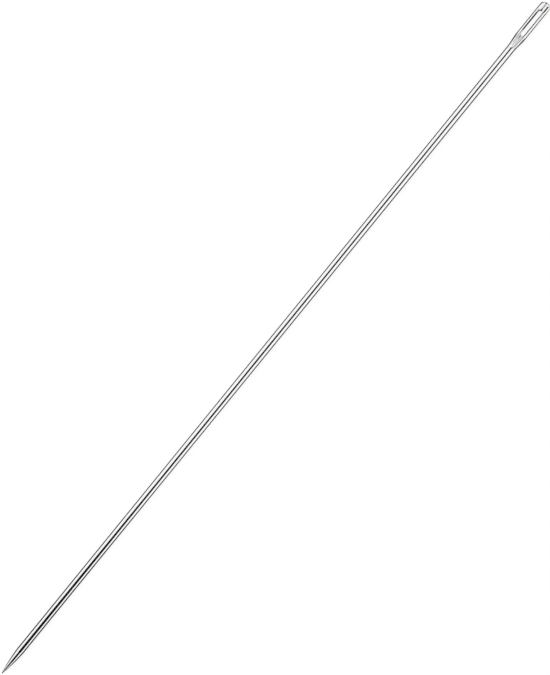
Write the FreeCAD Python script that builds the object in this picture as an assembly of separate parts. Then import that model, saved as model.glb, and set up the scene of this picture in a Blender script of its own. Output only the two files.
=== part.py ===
# Straight upholstery needle: one length of drawn steel wire, ground to a round point at one end
# and pressed flat round a long eye at the other.
#
# The needle lies on a surface with its eye facing up. +X runs along the wire from the point to the
# eye, +Y goes across the flats, and +Z is up. The origin is the middle of the needle's footprint,
# so the shaft touches z = 0 and its axis is half a diameter above that.
import FreeCAD
import Part

import math
import os

from FreeCAD import Vector

# Driving dimensions, in millimetres.
length = 254.0            # over all, from the point to the end of the head
shaft_diameter = 2.4      # the drawn wire

point_length = 9.2        # from the shoulder of the point to its tip
point_bulge = 0.21        # how far the point's curve stands out from a straight cone at its middle
nose_radius = 0.12        # the very tip is not a knife point

side_spread = 0.4         # how far pressing pushes each side of the head out past the shaft
spread_length = 4.8       # the stretch in which the shaft widens to the head
spread_to_eye = 0.1       # full-width head between that stretch and the eye
end_rounding = 1.25       # how deep the head's rounded end is

flat_press = 0.275        # how far each pressed flat lies below the shaft's surface
flat_run_out = 4.4        # the sweep in which a flat rises back to the shaft's surface
flat_before_eye = 0.3     # level flat between the sweep and the eye
flat_edge_radius = 0.5    # rounding where the flats meet the sides

eye_length = 8.8
eye_width = 1.5
crown_length = 2.75       # solid metal between the eye and the end of the head
rim_radius = 0.12         # the eye's rims are rounded so that they don't cut the thread

gutter_width = 1.1        # the gutter that the thread lies in, where it leaves the eye
gutter_depth = 0.32
gutter_root = 0.07        # rounding at the bottom of the gutter
gutter_run = 3.3          # length of the long gutter, from the eye towards the point
crown_gutter_rise = 0.1   # how much the short gutter rises from the eye to the end of the head

# Worked out from them. Everything is built round the wire's axis and laid on z = 0 at the end.
shaft_radius = shaft_diameter / 2
tip_x = -length / 2
end_x = length / 2
point_x = tip_x + point_length                   # where the point begins
head_half_width = shaft_radius + side_spread
half_thickness = shaft_radius - flat_press       # from the axis to each flat
crown_x = end_x - end_rounding                   # where the rounded end begins
eye_end_x = end_x - crown_length                 # the eye's end beside the crown
eye_start_x = eye_end_x - eye_length             # the eye's end beside the shaft
head_x = eye_start_x - spread_to_eye             # where the head reaches full width
spread_x = head_x - spread_length                # where the shaft begins to widen
flat_x = eye_start_x - flat_before_eye           # where a flat becomes level
sweep_radius = (flat_run_out ** 2 + flat_press ** 2) / (2 * flat_press)
room = 1.0                                       # how far cutting tools reach past the metal

SECTIONS = 7                                     # outlines that carry the widening's curve


def pointed_shaft():
    """The round wire with its ground point, turned about the X axis."""

    def point_radius(x):
        """Radius of the point at x: a straight cone with a parabolic bulge on it."""
        along = (x - tip_x) / point_length
        return shaft_radius * along + 4 * point_bulge * along * (1 - along)

    tip_angle = math.atan((shaft_radius + 4 * point_bulge) / point_length)
    nose_x = tip_x + nose_radius
    nose_top = Vector(nose_x - nose_radius * math.sin(tip_angle), 0, nose_radius * math.cos(tip_angle))
    half_turn = (math.pi / 2 - tip_angle) / 2
    nose_middle = Vector(nose_x - nose_radius * math.cos(half_turn), 0, nose_radius * math.sin(half_turn))
    middle_x = (nose_top.x + point_x) / 2
    point_top = Vector(point_x, 0, shaft_radius)
    shaft_top = Vector(spread_x, 0, shaft_radius)
    profile = Part.Wire([
        Part.Arc(Vector(tip_x, 0, 0), nose_middle, nose_top).toShape(),
        Part.Arc(nose_top, Vector(middle_x, 0, point_radius(middle_x)), point_top).toShape(),
        Part.LineSegment(point_top, shaft_top).toShape(),
        Part.LineSegment(shaft_top, Vector(spread_x, 0, 0)).toShape(),
        Part.LineSegment(Vector(spread_x, 0, 0), Vector(tip_x, 0, 0)).toShape(),
    ])
    return Part.Face(profile).revolve(Vector(0, 0, 0), Vector(1, 0, 0), 360)


def stretched(shape, along_x, along_y):
    """The shape scaled along X and Y about the origin."""
    scaling = FreeCAD.Matrix()
    scaling.scale(along_x, along_y, 1)
    return shape.transformGeometry(scaling)


def outline(x, half_width):
    """The wire's outline across the needle at x, as tall as the shaft and spread to half_width."""
    circle = Part.Circle(Vector(x, 0, 0), Vector(1, 0, 0), shaft_radius)
    return Part.Wire(stretched(circle.toShape(), 1, half_width / shaft_radius).Edges)


def spread_head():
    """The head before its flats are pressed: the wire spread to an oval, with a rounded end."""
    outlines = []
    for n in range(SECTIONS):
        share = n / (SECTIONS - 1)
        ease = share * share * (3 - 2 * share)
        outlines.append(outline(spread_x + spread_length * share, shaft_radius + side_spread * ease))
    widening = Part.makeLoft(outlines, True, False)
    straight = Part.Face(outlines[-1]).extrude(Vector(crown_x - head_x, 0, 0))
    ball = Part.makeSphere(shaft_radius, Vector(0, 0, 0), Vector(1, 0, 0), 0, 90, 360)
    crown = stretched(ball, end_rounding / shaft_radius, head_half_width / shaft_radius)
    crown.translate(Vector(crown_x, 0, 0))
    return widening, straight, crown


def flat_tool():
    """What the press takes off the top of the head: level over the eye, then a long sweep up."""
    start = Vector(flat_x, 0, half_thickness)
    angle = math.asin(flat_run_out / sweep_radius)
    centre_z = half_thickness + sweep_radius

    def on_sweep(turn):
        return Vector(flat_x - sweep_radius * math.sin(turn), 0, centre_z - sweep_radius * math.cos(turn))

    # The sweep goes on past the shaft's surface, so that the cut ends in air.
    past = angle * 1.15
    far = on_sweep(past)
    top = shaft_radius + room
    corners = [far, Vector(far.x, 0, top), Vector(end_x + room, 0, top),
               Vector(end_x + room, 0, half_thickness), start]
    edges = [Part.LineSegment(a, b).toShape() for a, b in zip(corners, corners[1:])]
    edges.append(Part.Arc(start, on_sweep(past / 2), far).toShape())
    width = 2 * (head_half_width + room)
    tool = Part.Face(Part.Wire(edges)).extrude(Vector(0, width, 0))
    tool.translate(Vector(0, -width / 2, 0))
    return tool


def eye_tool():
    """The punch that opens the eye: a slot with half-round ends."""
    radius = eye_width / 2
    left_x, right_x = eye_start_x + radius, eye_end_x - radius
    bottom = -shaft_radius - room
    edges = [
        Part.LineSegment(Vector(left_x, -radius, bottom), Vector(right_x, -radius, bottom)).toShape(),
        Part.Arc(Vector(right_x, -radius, bottom), Vector(eye_end_x, 0, bottom),
                 Vector(right_x, radius, bottom)).toShape(),
        Part.LineSegment(Vector(right_x, radius, bottom), Vector(left_x, radius, bottom)).toShape(),
        Part.Arc(Vector(left_x, radius, bottom), Vector(eye_start_x, 0, bottom),
                 Vector(left_x, -radius, bottom)).toShape(),
    ]
    return Part.Face(Part.Wire(edges)).extrude(Vector(0, 0, 2 * (shaft_radius + room)))


def gutter_tool(start, end):
    """A V-shaped cutter whose root runs from start to end, with a small rounding along the root."""
    slope = gutter_width / 2 / gutter_depth
    height = gutter_depth + flat_press + room
    half_mouth = slope * height
    corners = [Vector(0, 0, 0), Vector(0, half_mouth, height), Vector(0, -half_mouth, height)]
    face = Part.Face(Part.makePolygon(corners + corners[:1]))
    face.translate(start)
    cutter = face.extrude(end - start)
    root = [e for e in cutter.Edges
            if all(abs(v.Y) < 1e-6 for v in e.Vertexes) and e.Length > gutter_width]
    return cutter.makeFillet(gutter_root, root)


def both_faces(tool):
    """The cutting tool and its mirror image below the needle's middle plane."""
    return [tool, tool.mirror(Vector(0, 0, 0), Vector(0, 0, 1))]


def gutter_tools():
    """The long gutter towards the point and the short one over the crown."""
    floor_z = half_thickness - gutter_depth
    up_sweep = min(max(gutter_run - flat_before_eye, 0), flat_run_out)
    surface_z = half_thickness + sweep_radius - math.sqrt(sweep_radius ** 2 - up_sweep ** 2)
    slope = (surface_z - floor_z) / gutter_run
    reach = (shaft_radius + gutter_root - floor_z) / slope
    in_eye = eye_width / 2
    long_start = Vector(eye_start_x + in_eye, 0, floor_z - slope * in_eye)
    long_end = Vector(eye_start_x - reach, 0, floor_z + slope * reach)
    crown_slope = crown_gutter_rise / crown_length
    short_start = Vector(eye_end_x - in_eye, 0, floor_z - crown_slope * in_eye)
    short_end = Vector(end_x + room, 0, floor_z + crown_slope * (crown_length + room))
    return gutter_tool(long_start, long_end), gutter_tool(short_start, short_end)


def flat_edges(shape):
    """The straight edges where the two flats meet the sides of the head."""
    edges = []
    for edge in shape.Edges:
        box = edge.BoundBox
        level = box.YLength < 1e-6 and box.ZLength < 1e-6
        if level and box.XLength > eye_length and abs(abs(box.ZMin) - half_thickness) < 1e-4:
            edges.append(edge)
    return edges


def rim_edges(shape):
    """The edges where the eye's wall meets the flats: they follow the eye's outline and aren't upright."""
    radius = eye_width / 2

    def on_outline(point):
        middle_x = min(max(point.x, eye_start_x + radius), eye_end_x - radius)
        return abs(math.hypot(point.x - middle_x, point.y) - radius) < 1e-3

    edges = []
    for edge in shape.Edges:
        if edge.Degenerated or edge.BoundBox.ZLength > half_thickness:
            continue
        middle = edge.valueAt((edge.FirstParameter + edge.LastParameter) / 2)
        if all(on_outline(point) for point in [middle] + [vertex.Point for vertex in edge.Vertexes]):
            edges.append(edge)
    return edges


def needle():
    """The whole needle, laid on z = 0."""
    body = pointed_shaft().fuse(list(spread_head())).removeSplitter()
    body = body.cut(both_faces(flat_tool()))
    body = body.makeFillet(flat_edge_radius, flat_edges(body))
    body = body.cut(eye_tool())
    body = body.makeFillet(rim_radius, rim_edges(body))
    for tool in gutter_tools():
        body = body.cut(both_faces(tool))
    body.translate(Vector(0, 0, shaft_radius))
    return body


if __name__ == "__main__":
    os.makedirs("parts", exist_ok=True)
    needle().exportStep("parts/needle.step")
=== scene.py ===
"""A straight upholstery needle of polished, nickel-plated wire, lying on a pale floor."""
import math

import bmesh
import bpy
from mathutils import Matrix, Vector


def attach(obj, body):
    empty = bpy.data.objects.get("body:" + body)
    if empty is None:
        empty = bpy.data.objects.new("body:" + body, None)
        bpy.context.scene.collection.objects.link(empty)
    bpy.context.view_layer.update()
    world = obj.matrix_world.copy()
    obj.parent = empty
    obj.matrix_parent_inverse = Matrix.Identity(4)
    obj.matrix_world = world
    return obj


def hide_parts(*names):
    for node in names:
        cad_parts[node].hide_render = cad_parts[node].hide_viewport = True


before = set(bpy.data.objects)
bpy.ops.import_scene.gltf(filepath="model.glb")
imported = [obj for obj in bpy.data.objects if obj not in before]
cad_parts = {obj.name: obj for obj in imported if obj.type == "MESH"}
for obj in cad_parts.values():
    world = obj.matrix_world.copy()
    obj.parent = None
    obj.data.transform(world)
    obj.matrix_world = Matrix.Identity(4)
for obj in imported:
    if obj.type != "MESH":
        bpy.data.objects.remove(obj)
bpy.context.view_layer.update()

MM = 0.001

# The needle, in millimetres along X from the middle of its length.
TIP_X = -127.0
POINT_X = -117.8          # where the ground point begins
SPREAD_X = 110.55         # where the wire begins to widen
HEAD_X = 115.35           # where the head has its full width
CROWN_X = 125.75          # where the rounded end begins
END_X = 127.0
EYE_START_X = 115.45
EYE_END_X = 124.25

WIRE_RADIUS = 1.2
AXIS_Z = WIRE_RADIUS      # the wire lies on the floor
HEAD_HALF_WIDTH = 1.6
POINT_BULGE = 0.21        # how far the point stands out from a straight cone at its middle
NOSE_RADIUS = 0.12

FLAT_HEIGHT = 0.925       # of each pressed flat, from the wire's axis
FLAT_PRESS = WIRE_RADIUS - FLAT_HEIGHT
FLAT_X = 115.15           # where a flat becomes level
FLAT_RUN_OUT = 4.4
SWEEP_RADIUS = (FLAT_RUN_OUT ** 2 + FLAT_PRESS ** 2) / (2 * FLAT_PRESS)
EYE_HALF_WIDTH = 0.75
RIM_RADIUS = 0.12

GUTTER_HALF_WIDTH = 0.55
GUTTER_DEPTH = 0.32
GUTTER_RUN = 3.3
CROWN_GUTTER_RISE = 0.1
ROOT_BEVEL = 0.04         # rounds the bottom of a gutter

SIDES = 96                # faces round the wire


def deselect_all():
    bpy.ops.object.select_all(action="DESELECT")


def make_active(obj):
    """Selects this object alone, so that the next operator works on it."""
    deselect_all()
    obj.select_set(True)
    bpy.context.view_layer.objects.active = obj


def select_mesh():
    """In edit mode, selects the whole mesh."""
    bpy.ops.mesh.select_all(action="SELECT")


def select_where(obj, wanted):
    """In edit mode, selects the vertices whose place in millimetres passes the test."""
    mesh = bmesh.from_edit_mesh(obj.data)
    for vertex in mesh.verts:
        vertex.select = bool(wanted(vertex.co / MM))
    mesh.select_flush(True)
    mesh.select_flush(False)
    bmesh.update_edit_mesh(obj.data)


def extrude_by(x, z):
    """Extrudes what is selected, and moves it by millimetres along X and Z."""
    bpy.ops.mesh.extrude_region_move(TRANSFORM_OT_translate={"value": (x * MM, 0, z * MM)})


def flatten_onto(height):
    """Scales what is selected down onto the level at this height, in millimetres."""
    bpy.ops.transform.resize(value=(1, 1, 0), center_override=(0, 0, height * MM))


def apply_place():
    bpy.ops.object.transform_apply(location=True, rotation=True, scale=True)


def bulged_cone(x):
    """Radius at x of a straight cone from the tip to the shoulder, with a parabolic bulge on it."""
    along = (x - TIP_X) / (POINT_X - TIP_X)
    return WIRE_RADIUS * along + 4 * POINT_BULGE * along * (1 - along)


# The nose is a small ball, and an arc runs from it to the shoulder: through its end on the ball,
# the bulged cone's radius halfway, and the wire's surface at the shoulder.
TIP_ANGLE = math.atan((WIRE_RADIUS + 4 * POINT_BULGE) / (POINT_X - TIP_X))
NOSE_END_X = TIP_X + NOSE_RADIUS * (1 - math.sin(TIP_ANGLE))
NOSE_END_RADIUS = NOSE_RADIUS * math.cos(TIP_ANGLE)


def arc_through(first, middle, last):
    """Centre and radius of the circle through three points."""
    (ax, ay), (bx, by), (cx, cy) = first, middle, last
    double_area = 2 * (ax * (by - cy) + bx * (cy - ay) + cx * (ay - by))
    a, b, c = ax * ax + ay * ay, bx * bx + by * by, cx * cx + cy * cy
    centre_x = (a * (by - cy) + b * (cy - ay) + c * (ay - by)) / double_area
    centre_y = (a * (cx - bx) + b * (ax - cx) + c * (bx - ax)) / double_area
    return centre_x, centre_y, math.hypot(ax - centre_x, ay - centre_y)


POINT_MIDDLE_X = (NOSE_END_X + POINT_X) / 2
POINT_ARC = arc_through((NOSE_END_X, NOSE_END_RADIUS), (POINT_MIDDLE_X, bulged_cone(POINT_MIDDLE_X)),
                        (POINT_X, WIRE_RADIUS))


def point_radius(x):
    """Radius of the ground point at x."""
    if x < NOSE_END_X:
        rise = x - TIP_X
        return math.sqrt(max(rise * (2 * NOSE_RADIUS - rise), 0.0))
    centre_x, centre_y, radius = POINT_ARC
    return centre_y + math.sqrt(radius ** 2 - (x - centre_x) ** 2)


def half_width(x):
    """Half the needle's width across the flats at x."""
    if x < POINT_X:
        return point_radius(x)
    if x < SPREAD_X:
        return WIRE_RADIUS
    if x < HEAD_X:
        share = (x - SPREAD_X) / (HEAD_X - SPREAD_X)
        return WIRE_RADIUS + (HEAD_HALF_WIDTH - WIRE_RADIUS) * share * share * (3 - 2 * share)
    if x < CROWN_X:
        return HEAD_HALF_WIDTH
    rise = (x - CROWN_X) / (END_X - CROWN_X)
    return HEAD_HALF_WIDTH * math.sqrt(max(1 - rise * rise, 0.0))


def half_height(x):
    """Half the needle's height at x before its flats are pressed."""
    if x < CROWN_X:
        return min(half_width(x), WIRE_RADIUS)
    return half_width(x) * WIRE_RADIUS / HEAD_HALF_WIDTH


def flat_height(x):
    """Height of the pressed flat above the wire's axis: level over the eye, then a long sweep up."""
    if x >= FLAT_X:
        return FLAT_HEIGHT
    away = FLAT_X - x
    if away >= FLAT_RUN_OUT:
        return WIRE_RADIUS + 1.0    # past the run-out the press is clear of the wire
    return FLAT_HEIGHT + SWEEP_RADIUS - math.sqrt(SWEEP_RADIUS ** 2 - away ** 2)


def spaced(start, end, count):
    """Places from just after start up to end, evenly apart."""
    return [start + (end - start) * n / count for n in range(1, count + 1)]


def widening_places():
    """Where the rings stand on the widening, and on the flats' run-outs."""
    return spaced(SPREAD_X, HEAD_X, 30)


def ring_places():
    """Where the rings of vertices stand along the needle."""
    nose = [TIP_X + NOSE_RADIUS * (1 - math.cos(math.radians(a))) for a in (10, 22, 34, 46, 58, 68)]
    nose.append(NOSE_END_X)
    # Rings crowd together towards the tip.
    point = [NOSE_END_X + (POINT_X - NOSE_END_X) * (n / 30) ** 1.4 for n in range(1, 31)]
    shaft = spaced(POINT_X, SPREAD_X, 30)
    head = spaced(HEAD_X, CROWN_X, 40)
    crown = [CROWN_X + (END_X - CROWN_X) * math.sin(math.radians(a)) for a in range(5, 90, 5)]
    return nose + point + shaft + widening_places() + head + crown


def draw_wire():
    """The round wire with its point and its widened end: one ring, extruded from tip to crown."""
    places = ring_places()
    first = places[0]
    deselect_all()
    bpy.ops.mesh.primitive_circle_add(vertices=SIDES, radius=half_width(first) * MM,
                                      location=(first * MM, 0, AXIS_Z * MM), rotation=(0, math.pi / 2, 0))
    wire = bpy.context.active_object
    wire.name = "upholstery_needle"
    apply_place()
    bpy.ops.object.mode_set(mode="EDIT")
    select_mesh()
    width, height, last = half_width(first), half_height(first), first
    for x in places[1:]:
        extrude_by(x - last, 0)
        new_width, new_height = half_width(x), half_height(x)
        bpy.ops.transform.resize(value=(1, new_width / width, new_height / height),
                                 center_override=(x * MM, 0, AXIS_Z * MM))
        width, height, last = new_width, new_height, x
    extrude_by(END_X - last, 0)
    bpy.ops.mesh.merge(type="CENTER")
    select_where(wire, lambda p: p.x < first + 1e-3)
    extrude_by(TIP_X - first, 0)
    bpy.ops.mesh.merge(type="CENTER")
    bpy.ops.object.mode_set(mode="OBJECT")
    return wire


def press_flats(wire):
    """Presses the head flat on both sides: what stands above a flat's height is scaled down to it."""
    make_active(wire)
    bpy.ops.object.mode_set(mode="EDIT")
    for side in (1, -1):
        select_where(wire, lambda p: p.x > FLAT_X and (p.z - AXIS_Z) * side > FLAT_HEIGHT)
        flatten_onto(AXIS_Z + side * FLAT_HEIGHT)
        # The run-out is pressed one ring at a time.
        for x in widening_places():
            height = flat_height(x)
            if x > FLAT_X or height > WIRE_RADIUS:
                continue
            select_where(wire, lambda p: abs(p.x - x) < 0.02 and (p.z - AXIS_Z) * side > height)
            flatten_onto(AXIS_Z + side * height)
    bpy.ops.object.mode_set(mode="OBJECT")


def soften_flat_edges(wire):
    """Rounds the edges that the press leaves where the flats meet the sides."""

    def by_edge(p):
        if p.x < SPREAD_X + 0.3 or p.x > END_X - 0.02:
            return False
        height = flat_height(p.x)
        if height > WIRE_RADIUS:
            return False
        rise = abs(p.z - AXIS_Z)
        width, tall = half_width(p.x), half_height(p.x)
        if height >= tall:
            return False
        edge_y = width * math.sqrt(1 - (height / tall) ** 2)
        # The edge is rounded over a wide band beside the eye, and over a narrow one on the run-out.
        reach = 0.45 if p.x > FLAT_X - 0.8 else 0.12
        return math.hypot(abs(p.y) - edge_y, rise - height) < reach and abs(p.y) > edge_y - 0.16

    def on_crown(p):
        return EYE_END_X + 0.1 < p.x < END_X - 0.1 and abs(p.z - AXIS_Z) > 0.35 and abs(p.y) > 0.93

    make_active(wire)
    bpy.ops.object.mode_set(mode="EDIT")
    select_where(wire, by_edge)
    bpy.ops.mesh.vertices_smooth(factor=0.5, repeat=16, xaxis=False)
    # The crown, beyond the eye, is more domed than the two sides of the eye.
    select_where(wire, on_crown)
    bpy.ops.mesh.vertices_smooth(factor=0.5, repeat=30, xaxis=False)
    bpy.ops.object.mode_set(mode="OBJECT")


def cut(body, tool):
    """Takes the tool's shape away from the body, and the tool with it."""
    make_active(body)
    modifier = body.modifiers.new("cut", "BOOLEAN")
    modifier.object = tool
    modifier.operation = "DIFFERENCE"
    modifier.solver = "EXACT"
    bpy.ops.object.modifier_apply(modifier=modifier.name)
    bpy.data.objects.remove(tool)


def eye_punch():
    """The punch that opens the eye: a slot with half-round ends, flared where it leaves the flats."""
    middle_x = (EYE_START_X + EYE_END_X) / 2
    half_length = (EYE_END_X - EYE_START_X) / 2
    # How far the punch stands out from the slot's outline, and at what height from the wire's axis.
    flare = [(0.0, 0.0), (0.0, FLAT_HEIGHT - RIM_RADIUS)]
    rim_angles = [math.radians(angle) for angle in (16, 32, 48, 64, 78)]
    for turn in rim_angles:
        flare.append((RIM_RADIUS * (1 - math.cos(turn)), FLAT_HEIGHT - RIM_RADIUS * (1 - math.sin(turn))))
    # The flare goes on a little way past the flat, and then the punch stands straight up in air.
    past = 0.05
    flare.append((flare[-1][0] + past * math.tan(rim_angles[-1]), flare[-1][1] + past))
    flare.append((flare[-1][0], FLAT_HEIGHT + 0.6))
    rows = [(out, -height) for out, height in reversed(flare[1:])] + flare[1:]

    deselect_all()
    bpy.ops.mesh.primitive_plane_add(size=1, location=(middle_x * MM, 0, (AXIS_Z + rows[0][1]) * MM))
    punch = bpy.context.active_object
    punch.scale = (2 * half_length * MM, 2 * EYE_HALF_WIDTH * MM, 1)
    apply_place()
    bpy.ops.object.mode_set(mode="EDIT")
    select_mesh()
    bpy.ops.mesh.bevel(offset=EYE_HALF_WIDTH * MM, offset_type="OFFSET", segments=14, affect="VERTICES",
                       clamp_overlap=False)
    select_mesh()
    bpy.ops.mesh.remove_doubles(threshold=0.004 * MM)
    select_mesh()

    def grow(out_before, out_after, height):
        bpy.ops.transform.resize(value=((half_length + out_after) / (half_length + out_before),
                                        (EYE_HALF_WIDTH + out_after) / (EYE_HALF_WIDTH + out_before), 1),
                                 center_override=(middle_x * MM, 0, (AXIS_Z + height) * MM))

    grow(0.0, rows[0][0], rows[0][1])
    for before, after in zip(rows, rows[1:]):
        extrude_by(0, after[1] - before[1])
        grow(before[0], after[0], after[1])
    select_mesh()
    bpy.ops.mesh.normals_make_consistent(inside=False)
    bpy.ops.object.mode_set(mode="OBJECT")
    return punch


def gutter_cutter(start_x, start_z, end_x, end_z):
    """A three-cornered bar that lies on its rounded edge, from start to end."""
    slope = math.atan2(end_z - start_z, end_x - start_x)
    length = math.hypot(end_x - start_x, end_z - start_z)
    height = GUTTER_DEPTH + 1.2     # the bar stands clear of the flat
    radius = height / 1.5           # of the circle round its three corners
    deselect_all()
    bpy.ops.mesh.primitive_cylinder_add(vertices=3, radius=radius * MM, depth=length * MM,
                                        location=(0, 0, 0), rotation=(0, 0, 0))
    bar = bpy.context.active_object
    # The cylinder stands on Z with a corner towards +Y. Laid along X, that corner becomes the root.
    bar.data.transform(Matrix.Rotation(math.pi, 4, "Z"))
    bar.data.transform(Matrix(((0, 0, 1, 0), (1, 0, 0, 0), (0, 1, 0, 0), (0, 0, 0, 1))))
    half_mouth = GUTTER_HALF_WIDTH / GUTTER_DEPTH * height
    bar.scale = (1, half_mouth / (radius * math.sqrt(3) / 2), 1)
    apply_place()
    bpy.ops.object.mode_set(mode="EDIT")
    lowest = min(v.co.z for v in bar.data.vertices) / MM
    select_where(bar, lambda p: p.z < lowest + 0.01)
    bpy.ops.mesh.bevel(offset=ROOT_BEVEL * MM, offset_type="OFFSET", segments=4, affect="EDGES")
    select_mesh()
    bpy.ops.transform.translate(value=(0, 0, -lowest * MM))
    bpy.ops.object.mode_set(mode="OBJECT")
    bar.rotation_euler = (0, -slope, 0)
    bar.location = ((start_x + end_x) / 2 * MM, 0, (AXIS_Z + (start_z + end_z) / 2) * MM)
    apply_place()
    return bar


def copy_below(tool):
    """A copy of a tool for the needle's other side, mirrored in its middle plane."""
    make_active(tool)
    bpy.ops.object.duplicate()
    copy = bpy.context.active_object
    bpy.ops.object.mode_set(mode="EDIT")
    select_mesh()
    bpy.ops.transform.mirror(constraint_axis=(False, False, True), center_override=(0, 0, AXIS_Z * MM))
    bpy.ops.mesh.normals_make_consistent(inside=False)
    bpy.ops.object.mode_set(mode="OBJECT")
    return copy


def grind_gutters(body):
    """The long gutter towards the point and the short one over the crown, on both faces."""
    root = FLAT_HEIGHT - GUTTER_DEPTH
    in_eye = EYE_HALF_WIDTH         # how far each bar reaches into the eye
    long_rise = flat_height(EYE_START_X - GUTTER_RUN) - root
    slope = long_rise / GUTTER_RUN
    beyond = 3.0                    # how far the long bar goes on over the wire
    long_bar = gutter_cutter(EYE_START_X - GUTTER_RUN - beyond, root + long_rise + slope * beyond,
                             EYE_START_X + in_eye, root - slope * in_eye)
    crown_slope = CROWN_GUTTER_RISE / (END_X - EYE_END_X)
    past = 1.0                      # how far the short bar goes past the crown
    short_bar = gutter_cutter(EYE_END_X - in_eye, root - crown_slope * in_eye,
                              END_X + past, root + CROWN_GUTTER_RISE + crown_slope * past)
    for bar in (long_bar, short_bar):
        below = copy_below(bar)
        cut(body, bar)
        cut(body, below)


def finish_surface(body):
    """Merges what the cuts left double and shades the polished faces smooth."""
    make_active(body)
    bpy.ops.object.mode_set(mode="EDIT")
    select_mesh()
    bpy.ops.mesh.remove_doubles(threshold=0.0015 * MM)
    select_mesh()
    bpy.ops.mesh.dissolve_degenerate(threshold=0.001 * MM)
    select_mesh()
    bpy.ops.mesh.normals_make_consistent(inside=False)
    bpy.ops.object.mode_set(mode="OBJECT")
    bpy.ops.object.shade_smooth_by_angle(angle=math.radians(24))
    modifier = body.modifiers.new("normals", "WEIGHTED_NORMAL")
    modifier.keep_sharp = True
    modifier.weight = 50
    bpy.ops.object.modifier_apply(modifier=modifier.name)


def make_needle():
    body = draw_wire()
    press_flats(body)
    soften_flat_edges(body)
    cut(body, eye_punch())
    grind_gutters(body)
    finish_surface(body)
    return body


class Nodes:
    """Adds nodes to the tree of a material or of the world, a line each."""

    def __init__(self, tree):
        self.tree = tree

    def add(self, kind, inputs=(), **settings):
        node = self.tree.nodes.new(kind)
        for name, value in settings.items():
            setattr(node, name, value)
        for name, value in dict(inputs).items():
            socket = node.inputs[name]
            if isinstance(value, bpy.types.NodeSocket):
                self.tree.links.new(value, socket)
            else:
                socket.default_value = value
        return node

    def math(self, operation, first, second=0.0, third=0.0):
        return self.add("ShaderNodeMath", {0: first, 1: second, 2: third}, operation=operation).outputs[0]

    def product(self, *factors):
        """Two or more values multiplied."""
        result = factors[0]
        for factor in factors[1:]:
            result = self.math("MULTIPLY", result, factor)
        return result

    def away(self, value, middle):
        """How far the value is from the middle, on either side of it."""
        return self.math("ABSOLUTE", self.math("SUBTRACT", value, middle))

    def less(self, value, mask, share):
        """The value without this share of it where the mask is 1."""
        return self.product(value, self.math("MULTIPLY_ADD", mask, -share, 1.0))

    def ramp(self, value, low, high, low_out=0.0, high_out=1.0):
        """A smooth step from low_out to high_out as value goes from low to high."""
        node = self.add("ShaderNodeMapRange", {"Value": value, "From Min": low, "From Max": high,
                                               "To Min": low_out, "To Max": high_out},
                        interpolation_type="SMOOTHSTEP")
        return node.outputs["Result"]

    def fall(self, value, low, high):
        """A smooth step from 1 down to 0 as value goes from low to high."""
        return self.ramp(value, low, high, 1.0, 0.0)

    def noise(self, vector, scale, detail=2.0, stretch=(1, 1, 1)):
        """Noise on a stretched pattern; scale is in waves a metre before the stretch."""
        mapping = self.add("ShaderNodeMapping", {"Vector": vector, "Scale": stretch})
        node = self.add("ShaderNodeTexNoise", {"Vector": mapping.outputs[0], "Scale": scale,
                                               "Detail": detail, "Roughness": 0.6})
        return node.outputs["Fac"]

    def in_millimetres(self, place):
        """The X, Y and Z of a place, in millimetres."""
        scaled = self.add("ShaderNodeVectorMath", {0: place, "Scale": 1 / MM}, operation="SCALE")
        split = self.add("ShaderNodeSeparateXYZ", {0: scaled.outputs[0]})
        return split.outputs[0], split.outputs[1], split.outputs[2]


def new_material(name):
    """A material with nothing in its tree yet, and what adds nodes to it."""
    material = bpy.data.materials.new(name)
    material.use_nodes = True
    material.node_tree.nodes.clear()
    return material, Nodes(material.node_tree)


# In the functions below x runs along the wire and y across it, side is how far a place is from the
# wire's middle across it, and rise how far above or below. All four are in millimetres. run_out is
# 1 where a flat runs out into the wire. Each function gives a mask, which is 0 where the metal is
# plain.


def painted_gutter_shade(nodes, x, side, rise):
    """Painted shade in the root of each gutter, where the groove is deep."""
    past_eye = nodes.ramp(x, 119.5, 120.5)
    # In the short gutter the painted shade is widest and darkest beside the eye.
    thick = nodes.product(nodes.fall(x, 124.4, 125.1), past_eye)
    half_band = nodes.math("MULTIPLY_ADD", thick, 0.08, 0.1)
    by_root = nodes.fall(nodes.math("SUBTRACT", side, half_band), -0.05, 0.05)
    in_gutter = nodes.product(nodes.ramp(rise, 0.42, 0.52),
                              nodes.fall(rise, FLAT_HEIGHT - 0.12, FLAT_HEIGHT - 0.03))
    amount = nodes.math("ADD", nodes.ramp(x, 111.9, 114.6, 0.0, 0.4), nodes.product(past_eye, 0.15))
    return nodes.product(by_root, in_gutter, amount, nodes.math("MULTIPLY_ADD", thick, 0.8, 1.0))


def painted_mouth_reflections(nodes, x, side, run_out):
    """Painted dark reflections along the long gutter's two mouth edges, which draw apart towards the eye.
    """
    taper = 0.075
    edge = nodes.math("MULTIPLY_ADD", x, taper, GUTTER_HALF_WIDTH + 0.02 - taper * 115.0)
    return nodes.product(nodes.fall(nodes.away(side, edge), 0.03, 0.1), run_out,
                         nodes.ramp(x, 112.2, 113.2))


def painted_shoulder_reflections(nodes, x, y, side):
    """Painted dark reflections on the outer sides of the widening. The painted dark reaches further in on
    the +Y side.
    """
    outer = nodes.ramp(x, SPREAD_X, HEAD_X, WIRE_RADIUS, HEAD_HALF_WIDTH)
    inner = nodes.math("MULTIPLY_ADD", outer, 0.4, 0.56)
    inner = nodes.math("SUBTRACT", inner, nodes.ramp(y, -0.5, 0.5, -0.1, 0.22))
    outside = nodes.ramp(nodes.math("SUBTRACT", side, inner), -0.08, 0.08)
    return nodes.product(nodes.ramp(x, 110.2, 112.6), nodes.fall(x, 114.4, 115.8), outside)


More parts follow.
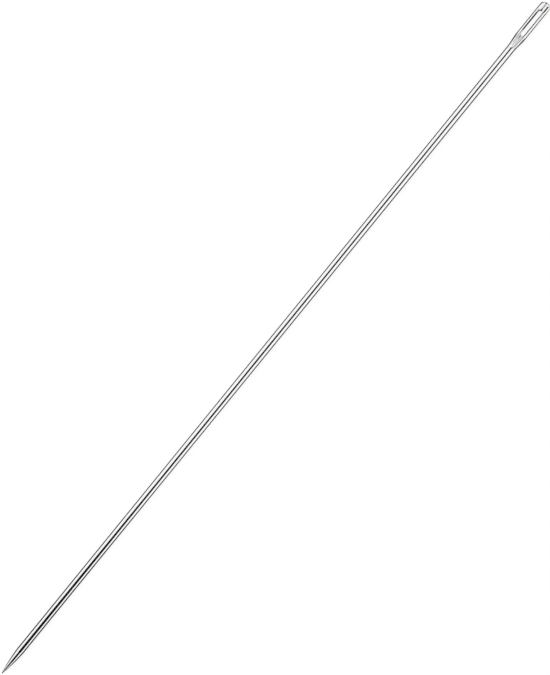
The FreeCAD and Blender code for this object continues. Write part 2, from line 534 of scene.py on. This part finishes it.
def painted_edge_reflection(nodes, x, y, rise):
    """A painted dark reflection along the flat's edge on the -Y side, faint beside the eye and dark on the
    crown.
    """
    across = nodes.fall(nodes.away(y, -1.05), 0.08, 0.19)
    amount = nodes.math("ADD", nodes.ramp(x, 115.3, 116.5, 0.0, 0.3), nodes.ramp(x, 124.2, 124.6, 0.0, 0.7))
    return nodes.product(across, nodes.ramp(rise, 0.5, 0.6), amount, nodes.fall(x, 126.1, 126.5))


def painted_end_shade(nodes, x, y, side):
    """A painted dark reflection on the crown's rim, and a painted speck of shade where the short gutter
    runs out.
    """
    rim = nodes.product(nodes.ramp(x, 126.6, 126.7, 0.0, 0.5), nodes.fall(side, 0.75, 1.0))
    speck = nodes.product(nodes.ramp(nodes.away(y, 0.24), 0.15, 0.26, 0.95, 0.0),
                          nodes.ramp(x, 126.45, 126.55), nodes.fall(x, 126.8, 126.9))
    return nodes.math("MAXIMUM", rim, speck)


def punched_ends(nodes, x, side, rise):
    """The wall at the eye's two round ends, which the punch leaves rougher than the eye's sides."""
    ends = nodes.math("MAXIMUM", nodes.fall(x, EYE_START_X + 0.6, EYE_START_X + 2.6),
                      nodes.ramp(x, EYE_END_X - 1.7, EYE_END_X - 0.6))
    return nodes.product(ends, nodes.fall(rise, FLAT_HEIGHT - 0.16, FLAT_HEIGHT - 0.08),
                         nodes.fall(side, 0.8, 0.95))


def steel():
    """Polished nickel plate: fine polishing lines along the wire, satin where the head was ground, and
    painted shade and painted dark reflections on the head.
    """
    material, nodes = new_material("polished_nickel_steel")
    place = nodes.add("ShaderNodeTexCoord").outputs["Object"]
    x, y, z = nodes.in_millimetres(place)
    side = nodes.math("ABSOLUTE", y)
    rise = nodes.away(z, AXIS_Z)

    # Where the metal is ground and not polished: the gutters, and the eye's wall.
    in_head = nodes.ramp(x, 111.6, 112.4)
    ground = nodes.product(nodes.fall(rise, FLAT_HEIGHT - 0.03, FLAT_HEIGHT - 0.004),
                           nodes.fall(side, 0.6, 0.78), in_head)
    # Where a flat runs out into the wire it has a satin finish.
    run_out = nodes.product(nodes.ramp(x, 110.4, 111.8), nodes.fall(x, 115.0, 115.7))
    satin = nodes.product(run_out, nodes.fall(side, 0.85, 1.15))
    matt = nodes.math("MAXIMUM", ground, satin)
    # At the far end of the long gutter, a painted dark line along the middle carries on the dark reflection
    # along the wire's top.
    painted_centre_line = nodes.product(nodes.fall(side, 0.04, 0.13), run_out, nodes.fall(x, 112.6, 113.4))
    # The grinding wheel leaves lines where a flat runs out.
    wheel_pitch = 0.47
    wheel = nodes.math("COSINE", nodes.product(y, 2 * math.pi / wheel_pitch))
    wheel = nodes.product(satin, nodes.math("MULTIPLY_ADD", wheel, 0.5, 0.5))

    streaks = nodes.noise(place, 4200.0, 2.0, (0.03, 1, 0.2))
    worn = nodes.product(nodes.ramp(streaks, 0.35, 0.62), satin)
    long_lines = nodes.noise(place, 9000.0, 3.0, (0.004, 1, 1))
    broad_lines = nodes.noise(place, 2500.0, 2.0, (0.006, 1, 1))
    clouds = nodes.noise(place, 160.0, 4.0)

    shade = nodes.math("MULTIPLY_ADD", broad_lines, 0.05, 0.955)
    shade = nodes.math("MULTIPLY_ADD", clouds, 0.03, shade)
    # What darkens the metal, and the share of its brightness that each takes at most: the finish first,
    # then painted shade and painted dark reflections.
    darker = ((matt, 0.03), (worn, 0.1), (wheel, 0.18), (painted_centre_line, 0.45),
              (painted_mouth_reflections(nodes, x, side, run_out), 0.6),
              (painted_shoulder_reflections(nodes, x, y, side), 0.8),
              (painted_edge_reflection(nodes, x, y, rise), 0.95),
              (painted_gutter_shade(nodes, x, side, rise), 0.98),
              (painted_end_shade(nodes, x, y, side), 1.0))
    for mask, share in darker:
        shade = nodes.less(shade, mask, share)
    grey = nodes.add("ShaderNodeCombineColor", {0: shade, 1: shade, 2: shade})
    base = nodes.add("ShaderNodeMix", {"Factor": 1.0, 6: (0.94, 0.94, 0.945, 1), 7: grey.outputs[0]},
                     data_type="RGBA", blend_type="MULTIPLY")

    rough = nodes.math("MULTIPLY_ADD", long_lines, 0.03, 0.035)
    ends = nodes.product(punched_ends(nodes, x, side, rise), in_head)
    for mask, more in ((matt, 0.22), (satin, 0.2), (ends, 0.5)):
        rough = nodes.math("MULTIPLY_ADD", mask, more, rough)

    hatch = nodes.add("ShaderNodeTexWave", {"Vector": place, "Scale": 2600.0, "Distortion": 1.5,
                                            "Detail": 2.0}, bands_direction="DIAGONAL").outputs["Fac"]
    lines_height = nodes.less(long_lines, matt, 0.7)
    height = nodes.math("MULTIPLY_ADD", nodes.product(hatch, ground), 0.8, lines_height)
    bump = nodes.add("ShaderNodeBump", {"Strength": 0.15, "Distance": 0.0000035, "Height": height})

    shader = nodes.add("ShaderNodeBsdfPrincipled", {"Base Color": base.outputs[2], "Metallic": 1.0,
                                                    "Roughness": rough, "Normal": bump.outputs[0]})
    nodes.add("ShaderNodeOutputMaterial", {"Surface": shader.outputs[0]})
    return material


# The camera stands over the needle, leaned towards the head and rolled towards the needle's -Y side.
CAMERA_ROLL = math.radians(13)
CAMERA_LEAN = math.radians(7)
CAMERA_DISTANCE = 0.5
CAMERA_AIM = Vector((0.004205, 0.000109, 0.0012))
CAMERA_LENS = 91.547
NEEDLE_ANGLE = math.radians(50.841)   # of the needle in the picture, from the right and upwards

to_camera = Vector((math.sin(CAMERA_LEAN),
                    -math.cos(CAMERA_LEAN) * math.sin(CAMERA_ROLL),
                    math.cos(CAMERA_LEAN) * math.cos(CAMERA_ROLL)))


def add_camera():
    along = (Vector((1, 0, 0)) - to_camera * to_camera.x).normalized()
    across = to_camera.cross(along)
    right = along * math.cos(NEEDLE_ANGLE) - across * math.sin(NEEDLE_ANGLE)
    up = along * math.sin(NEEDLE_ANGLE) + across * math.cos(NEEDLE_ANGLE)
    data = bpy.data.cameras.new("camera")
    data.lens = CAMERA_LENS
    data.sensor_width = 36.0
    data.sensor_fit = "AUTO"
    data.clip_start = 0.01
    data.clip_end = 20.0
    camera = bpy.data.objects.new("camera", data)
    bpy.context.scene.collection.objects.link(camera)
    turn = Matrix((right, up, to_camera)).transposed()
    camera.matrix_world = Matrix.Translation(CAMERA_AIM + to_camera * CAMERA_DISTANCE) @ turn.to_4x4()
    bpy.context.scene.camera = camera


# How far, in millimetres, the painted shade on the floor reaches towards -Y, as the metal shows it:
# at the point, and along the rest of the wire.
SHADE_AT_POINT = 16.0
SHADE_AT_WIRE = 6.4

# The floor's own grey, and the grey of the painted shade that the metal shows near the needle.
FLOOR_GREY = 0.9
PAINTED_SHADE_GREY = 0.02


def floor_material():
    """Pale floor that shows white to the camera and keeps the needle's soft shadow; in the metal it shows
    painted shade near the needle.
    """
    material, nodes = new_material("pale_floor")
    ray = nodes.add("ShaderNodeLightPath")
    in_metal = ray.outputs["Is Glossy Ray"]
    grey_with_painted_shade = nodes.math("MULTIPLY_ADD", in_metal, PAINTED_SHADE_GREY - FLOOR_GREY, FLOOR_GREY)
    grey = nodes.add("ShaderNodeCombineColor", {0: grey_with_painted_shade, 1: grey_with_painted_shade, 2: grey_with_painted_shade})
    diffuse = nodes.add("ShaderNodeBsdfDiffuse", {"Color": grey.outputs[0]})
    white = nodes.add("ShaderNodeEmission", {"Color": (1, 1, 1, 1), "Strength": 1.05})
    seen = nodes.product(ray.outputs["Is Camera Ray"], 0.82)
    # The metal sees the white background too, but close to the needle it sees the floor painted dark as
    # shade.
    x, y, _ = nodes.in_millimetres(nodes.add("ShaderNodeTexCoord").outputs["Object"])
    reach = nodes.ramp(x, -120.0, -45.0, -SHADE_AT_POINT, -SHADE_AT_WIRE)
    far = nodes.ramp(nodes.math("DIVIDE", y, reach), 0.8, 1.2)
    # The painted shade ends past the crown too, and slants round the crown's corner on the -Y side.
    far = nodes.math("MAXIMUM", far, nodes.ramp(x, 132.0, 137.0))
    far = nodes.math("MAXIMUM", far, nodes.ramp(nodes.math("SUBTRACT", x, y), 130.4, 131.6))
    # Painted light on the floor under the two ends of the eye, as light falling through them.
    ends = nodes.math("MAXIMUM", nodes.fall(x, 116.4, 117.6), nodes.ramp(x, 123.4, 124.1, 0.0, 1.5))
    through = nodes.product(ends, nodes.fall(nodes.away(x, 120.0), 5.0, 5.5),
                            nodes.ramp(nodes.math("ABSOLUTE", y), 0.8, 1.2, 0.6, 0.0))
    far = nodes.math("MAXIMUM", far, through)
    mirrored = nodes.product(in_metal, far, 0.95)
    share = nodes.math("MAXIMUM", seen, mirrored)
    mix = nodes.add("ShaderNodeMixShader", {0: share, 1: diffuse.outputs[0], 2: white.outputs[0]})
    nodes.add("ShaderNodeOutputMaterial", {"Surface": mix.outputs[0]})
    return material


def add_floor():
    deselect_all()
    bpy.ops.mesh.primitive_plane_add(size=6.0, location=(0, 0, 0))
    floor = bpy.context.active_object
    floor.name = "floor"
    floor.data.materials.append(floor_material())


# The dark opening over the needle, seen from the needle: the direction's X, half its width in degrees.
OPENING = ((-0.95, 24), (-0.84, 24), (-0.78, 60), (-0.72, 110), (-0.66, 95), (-0.63, 58), (-0.60, 42),
           (-0.56, 38), (-0.53, 37), (-0.49, 35), (-0.45, 30), (-0.40, 31), (-0.345, 37), (-0.318, 35),
           (-0.297, 33.5), (-0.277, 31.5), (-0.256, 28), (-0.235, 26.1), (-0.168, 23.6), (-0.122, 23.1),
           (-0.075, 21.5), (-0.004, 19.9), (0.09, 18.8), (0.13, 18.8), (0.17, 30), (0.34, 30), (0.39, 0))
OPENING_LOW, OPENING_HIGH = -0.95, 0.42
OPENING_MOST = 120.0
OPENING_SHIFT = 8.6       # degrees that its middle moves towards -Y, at the point's end
OPENING_EDGE = 1.3        # degrees, half the width of its soft edge


def opening_half_width(nodes, toward_eye):
    """Half the opening's width in radians, for the direction's X."""
    span = OPENING_HIGH - OPENING_LOW
    along = nodes.add("ShaderNodeMapRange", {"Value": toward_eye, "From Min": OPENING_LOW,
                                             "From Max": OPENING_HIGH}).outputs[0]
    shape = nodes.add("ShaderNodeFloatCurve", {"Value": along})
    curve = shape.mapping.curves[0]
    places = [((x - OPENING_LOW) / span, width / OPENING_MOST) for x, width in OPENING]
    curve.points[0].location = places[0]
    curve.points[1].location = places[-1]
    for place in places[1:-1]:
        curve.points.new(*place)
    for point in curve.points:
        point.handle_type = "VECTOR"
    shape.mapping.update()
    return nodes.product(shape.outputs[0], math.radians(OPENING_MOST))


def add_world():
    """White studio dome with one dark opening over the needle, where the camera and its stand are."""
    world = bpy.data.worlds.new("studio")
    bpy.context.scene.world = world
    world.use_nodes = True
    world.cycles.sampling_method = "NONE"
    world.node_tree.nodes.clear()
    nodes = Nodes(world.node_tree)
    direction = nodes.add("ShaderNodeTexCoord").outputs["Generated"]
    split = nodes.add("ShaderNodeSeparateXYZ", {0: direction})
    toward_eye, toward_side, upward = split.outputs[0], split.outputs[1], split.outputs[2]

    # The angle round the needle between this direction and the opening's middle.
    toward = (0, -math.sin(CAMERA_ROLL), math.cos(CAMERA_ROLL))
    sideways = (0, math.cos(CAMERA_ROLL), math.sin(CAMERA_ROLL))
    ahead = nodes.add("ShaderNodeVectorMath", {0: direction, 1: toward}, operation="DOT_PRODUCT")
    beside = nodes.add("ShaderNodeVectorMath", {0: direction, 1: sideways}, operation="DOT_PRODUCT")
    angle = nodes.math("ARCTAN2", beside.outputs["Value"], ahead.outputs["Value"])
    shift = nodes.ramp(toward_eye, -0.27, 0.03, math.radians(OPENING_SHIFT), 0.0)
    angle = nodes.math("ABSOLUTE", nodes.math("ADD", angle, shift))
    opening = opening_half_width(nodes, toward_eye)
    edge = math.radians(OPENING_EDGE)
    light = nodes.ramp(angle, nodes.math("SUBTRACT", opening, edge), nodes.math("ADD", opening, edge),
                       0.006, 1.0)

    # The far wall's skirting is dark too: low over the floor on the needle's +Y side. It stands higher
    # towards the point, and a little higher towards the eye.
    skirting = nodes.math("ADD", nodes.ramp(toward_eye, -0.36, -0.2, math.radians(14.0), math.radians(4.2)),
                          nodes.ramp(toward_eye, 0.04, 0.11, 0.0, math.radians(3.0)))
    above = nodes.ramp(nodes.math("SUBTRACT", upward, skirting), -0.01, 0.01, 0.05, 1.0)
    elsewhere = nodes.fall(toward_side, 0.2, 0.3)
    light = nodes.product(light, nodes.math("MAXIMUM", above, elsewhere))

    # Only what shines in the metal has the opening: the camera and the floor have the plain dome.
    ray = nodes.add("ShaderNodeLightPath")
    unseen = nodes.math("SUBTRACT", 1.0, ray.outputs["Is Glossy Ray"])
    shown = nodes.math("MAXIMUM", light, unseen)
    strength = nodes.math("MULTIPLY_ADD", ray.outputs["Is Diffuse Ray"], -0.15, shown)
    background = nodes.add("ShaderNodeBackground", {"Color": (1, 1, 1, 1), "Strength": strength})
    nodes.add("ShaderNodeOutputWorld", {"Surface": background.outputs[0]})


def add_lamp(name, place, size, power):
    """A soft square lamp that shines on the middle of the needle."""
    data = bpy.data.lights.new(name, "AREA")
    data.shape = "SQUARE"
    data.size = size
    data.energy = power
    lamp = bpy.data.objects.new(name, data)
    bpy.context.scene.collection.objects.link(lamp)
    lamp.location = place
    lamp.rotation_mode = "QUATERNION"
    lamp.rotation_quaternion = (-Vector(place)).to_track_quat("-Z", "Y")


needle = make_needle()
needle.data.materials.clear()
needle.data.materials.append(steel())
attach(needle, "root")
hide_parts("needle")

add_floor()
add_world()
add_lamp("key_lamp", (1.0, 0.4, 1.3), 0.8, 4.5)
add_camera()
bpy.context.scene.view_settings.view_transform = "Standard"
